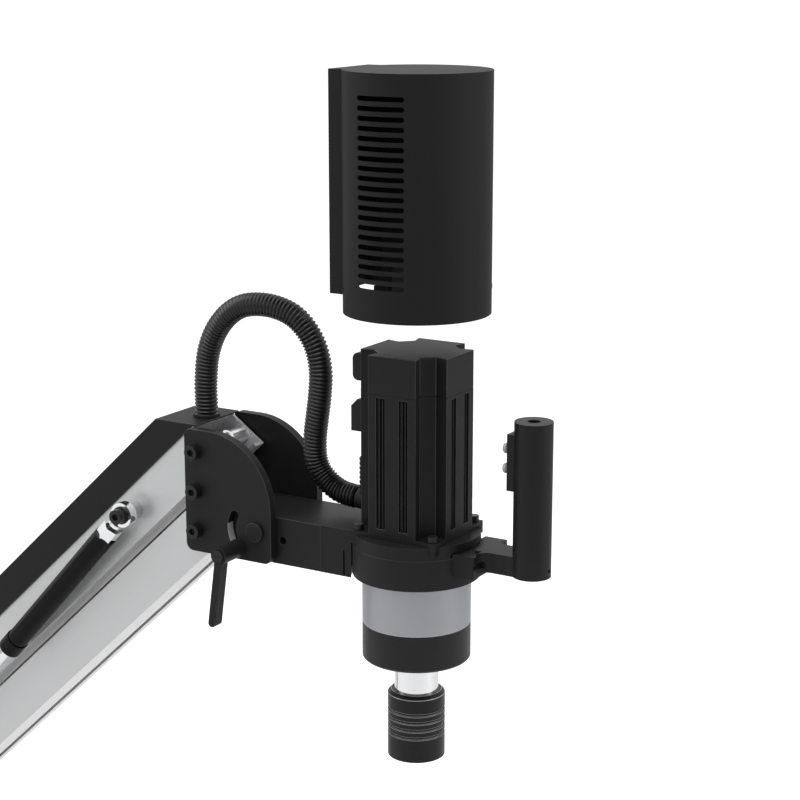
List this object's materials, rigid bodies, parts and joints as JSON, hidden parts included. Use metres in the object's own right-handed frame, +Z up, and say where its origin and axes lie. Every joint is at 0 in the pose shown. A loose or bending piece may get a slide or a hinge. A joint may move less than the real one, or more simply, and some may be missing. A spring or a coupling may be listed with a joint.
{
  "type": "arm tapping machine",
  "caption": "Articulated parallelogram arm with a gas spring that carries an electric tapping head, its tilt bracket, lock lever, handle with buttons, cable conduit and lift-off motor cover.",
  "frame": {"origin": "centre of the column bore's lower mouth, on the swing axis", "axes": "+Z up along the column, +X along the arm towards the tapping head, +Y away from the side with the lock lever and the gas spring"},
  "size_m": [0.7336, 0.1301, 0.8777],
  "materials": {
    "black_paint": "satin black powder coat with a very fine grain",
    "cover_paint": "satin black coated sheet, slightly grained",
    "motor_paint": "satin black coated aluminium die casting",
    "black_plastic": "matt moulded black plastic",
    "conduit_plastic": "ribbed black plastic with soft highlights",
    "beam_aluminium": "clear anodised extrusion with fine lines along it",
    "gear_aluminium": "satin grey anodised, turned",
    "black_anodised": "black anodised, turned",
    "cheek_iron": "black painted casting",
    "steel": "bright machined steel",
    "chrome": "polished chrome",
    "bronze": "plain bearing bronze",
    "copper": "lacquered copper winding",
    "black_steel": "blackened steel screws"
  },
  "bodies": {
    "column": {"column_sleeve": "cheek_iron", "clamp_screws": "black_steel", "swing_bush": "bronze", "thrust_washer": "bronze"},
    "yoke": {"swivel_yoke": "cheek_iron", "swing_spindle": "steel", "yoke_bolts": "black_steel", "gas_lower_stud": "steel"},
    "upper_arm": {"upper_beam": "beam_aluminium", "upper_bushes": "steel", "beam_cover": "cover_paint", "gas_upper_stud": "steel", "conduit_gland": "black_plastic", "conduit": "conduit_plastic"},
    "lower_arm": {"lower_beam": "beam_aluminium", "lower_bushes": "steel"},
    "gas_tube": {"gas_cylinder": "motor_paint", "gas_cylinder_cap": "motor_paint", "gas_cylinder_eye": "chrome"},
    "gas_piston_rod": {"gas_rod": "chrome", "gas_rod_eye": "chrome"},
    "bracket": {"near_plate": "black_anodised", "far_plate": "black_anodised", "plate_bolts": "black_steel", "spacer_tube": "steel", "tilt_pin": "black_steel"},
    "head": {"tilt_bar": "black_anodised", "lever_stud": "steel", "head_holder": "black_anodised", "seam_screws": "black_steel", "motor_flange": "motor_paint", "flange_screws": "black_steel", "motor_body": "motor_paint", "motor_stator": "copper", "motor_rear_cover": "motor_paint", "connector_upper": "black_plastic", "connector_lower": "black_plastic", "conduit_elbow": "black_plastic", "gearbox_housing": "gear_aluminium", "ring_gear": "steel", "gearbox_base": "black_anodised", "spindle_bearing": "steel"},
    "lever": {"lock_lever": "black_paint", "lever_screw": "black_steel"},
    "rotor": {"motor_rotor": "steel"},
    "tool_spindle": {"spindle": "chrome", "planet_gears": "steel", "chuck_body": "steel", "chuck_balls": "chrome", "chuck_spring": "steel"},
    "sleeve": {"chuck_sleeve": "black_anodised"},
    "handle": {"handle_ring": "black_anodised", "handle_arm": "black_anodised", "handle_clamp_screw": "black_steel", "handle_grip": "black_plastic", "button_plate": "black_plastic"},
    "up_button": {"button_up": "steel"},
    "down_button": {"button_down": "steel"},
    "cover": {"motor_cover": "cover_paint", "cover_screws": "black_steel"}
  },
  "joints": [
    {"name": "arm_swing", "type": "hinge", "parent": "column", "child": "yoke", "pos_m": [0, 0, 0.128], "axis": [0, 0, 1], "range_deg": [-170, 170]},
    {"name": "arm_lift", "type": "hinge", "parent": "yoke", "child": "upper_arm", "pos_m": [0.022, 0, 0.2414], "axis": [0, 1, 0], "range_deg": [0, 45]},
    {"name": "lower_lift", "type": "hinge", "parent": "yoke", "child": "lower_arm", "pos_m": [0.022, 0, 0.172], "axis": [0, 1, 0], "range_deg": [-1, 46]},
    {"name": "bracket_level", "type": "hinge", "parent": "upper_arm", "child": "bracket", "pos_m": [0.36006, 0, 0.55335], "axis": [0, 1, 0], "range_deg": [-46, 1], "deforming": ["conduit"]},
    {"name": "gas_swing", "type": "hinge", "parent": "upper_arm", "child": "gas_tube", "pos_m": [0.28511, -0.046, 0.48786], "axis": [0, 1, 0], "range_deg": [-1.4, 1]},
    {"name": "gas_stroke", "type": "slide", "parent": "gas_tube", "child": "gas_piston_rod", "axis": [0.681, 0, 0.7323], "range_m": [-0.001, 0.0217]},
    {"name": "head_tilt", "type": "hinge", "parent": "bracket", "child": "head", "pos_m": [0.42046, 0, 0.49155], "axis": [0, 1, 0], "range_deg": [0, 70], "deforming": ["conduit"]},
    {"name": "lever_turn", "type": "hinge", "parent": "head", "child": "lever", "pos_m": [0.40291, -0.05, 0.47519], "axis": [0, 1, 0], "range_deg": [-50, 50]},
    {"name": "rotor_spin", "type": "hinge", "parent": "head", "child": "rotor", "pos_m": [0.55406, 0, 0.47685], "axis": [0, 0, 1], "continuous": true},
    {"name": "spindle_spin", "type": "hinge", "parent": "head", "child": "tool_spindle", "pos_m": [0.55406, 0, 0.42685], "axis": [0, 0, 1], "continuous": true},
    {"name": "sleeve_slide", "type": "slide", "parent": "tool_spindle", "child": "sleeve", "axis": [0, 0, -1], "range_m": [0, 0.006], "stiffness_N_per_m": 1500, "springref_m": -0.004, "deforming": ["chuck_spring"]},
    {"name": "handle_swing", "type": "hinge", "parent": "head", "child": "handle", "pos_m": [0.55406, 0, 0.47885], "axis": [0, 0, 1], "range_deg": [0, 45]},
    {"name": "up_button_press", "type": "slide", "parent": "handle", "child": "up_button", "axis": [1, 0, 0], "range_m": [0, 0.0015], "stiffness_N_per_m": 900, "springref_m": -0.001},
    {"name": "down_button_press", "type": "slide", "parent": "handle", "child": "down_button", "axis": [1, 0, 0], "range_m": [0, 0.0015], "stiffness_N_per_m": 900, "springref_m": -0.001},
    {"name": "cover_off", "type": "slide", "parent": "head", "child": "cover", "axis": [0, 0, 1], "range_m": [-0.169, 0]}
  ],
  "couplings": [
    {"joint": "lower_lift", "follows": "arm_lift", "ratio": 1},
    {"joint": "bracket_level", "follows": "arm_lift", "ratio": -1},
    {"joint": "gas_swing", "follows": "arm_lift", "ratio": -0.0085},
    {"joint": "gas_stroke", "follows": "arm_lift", "m_per_rad": 0.0263},
    {"joint": "rotor_spin", "follows": "spindle_spin", "ratio": 3.87}
  ]
}
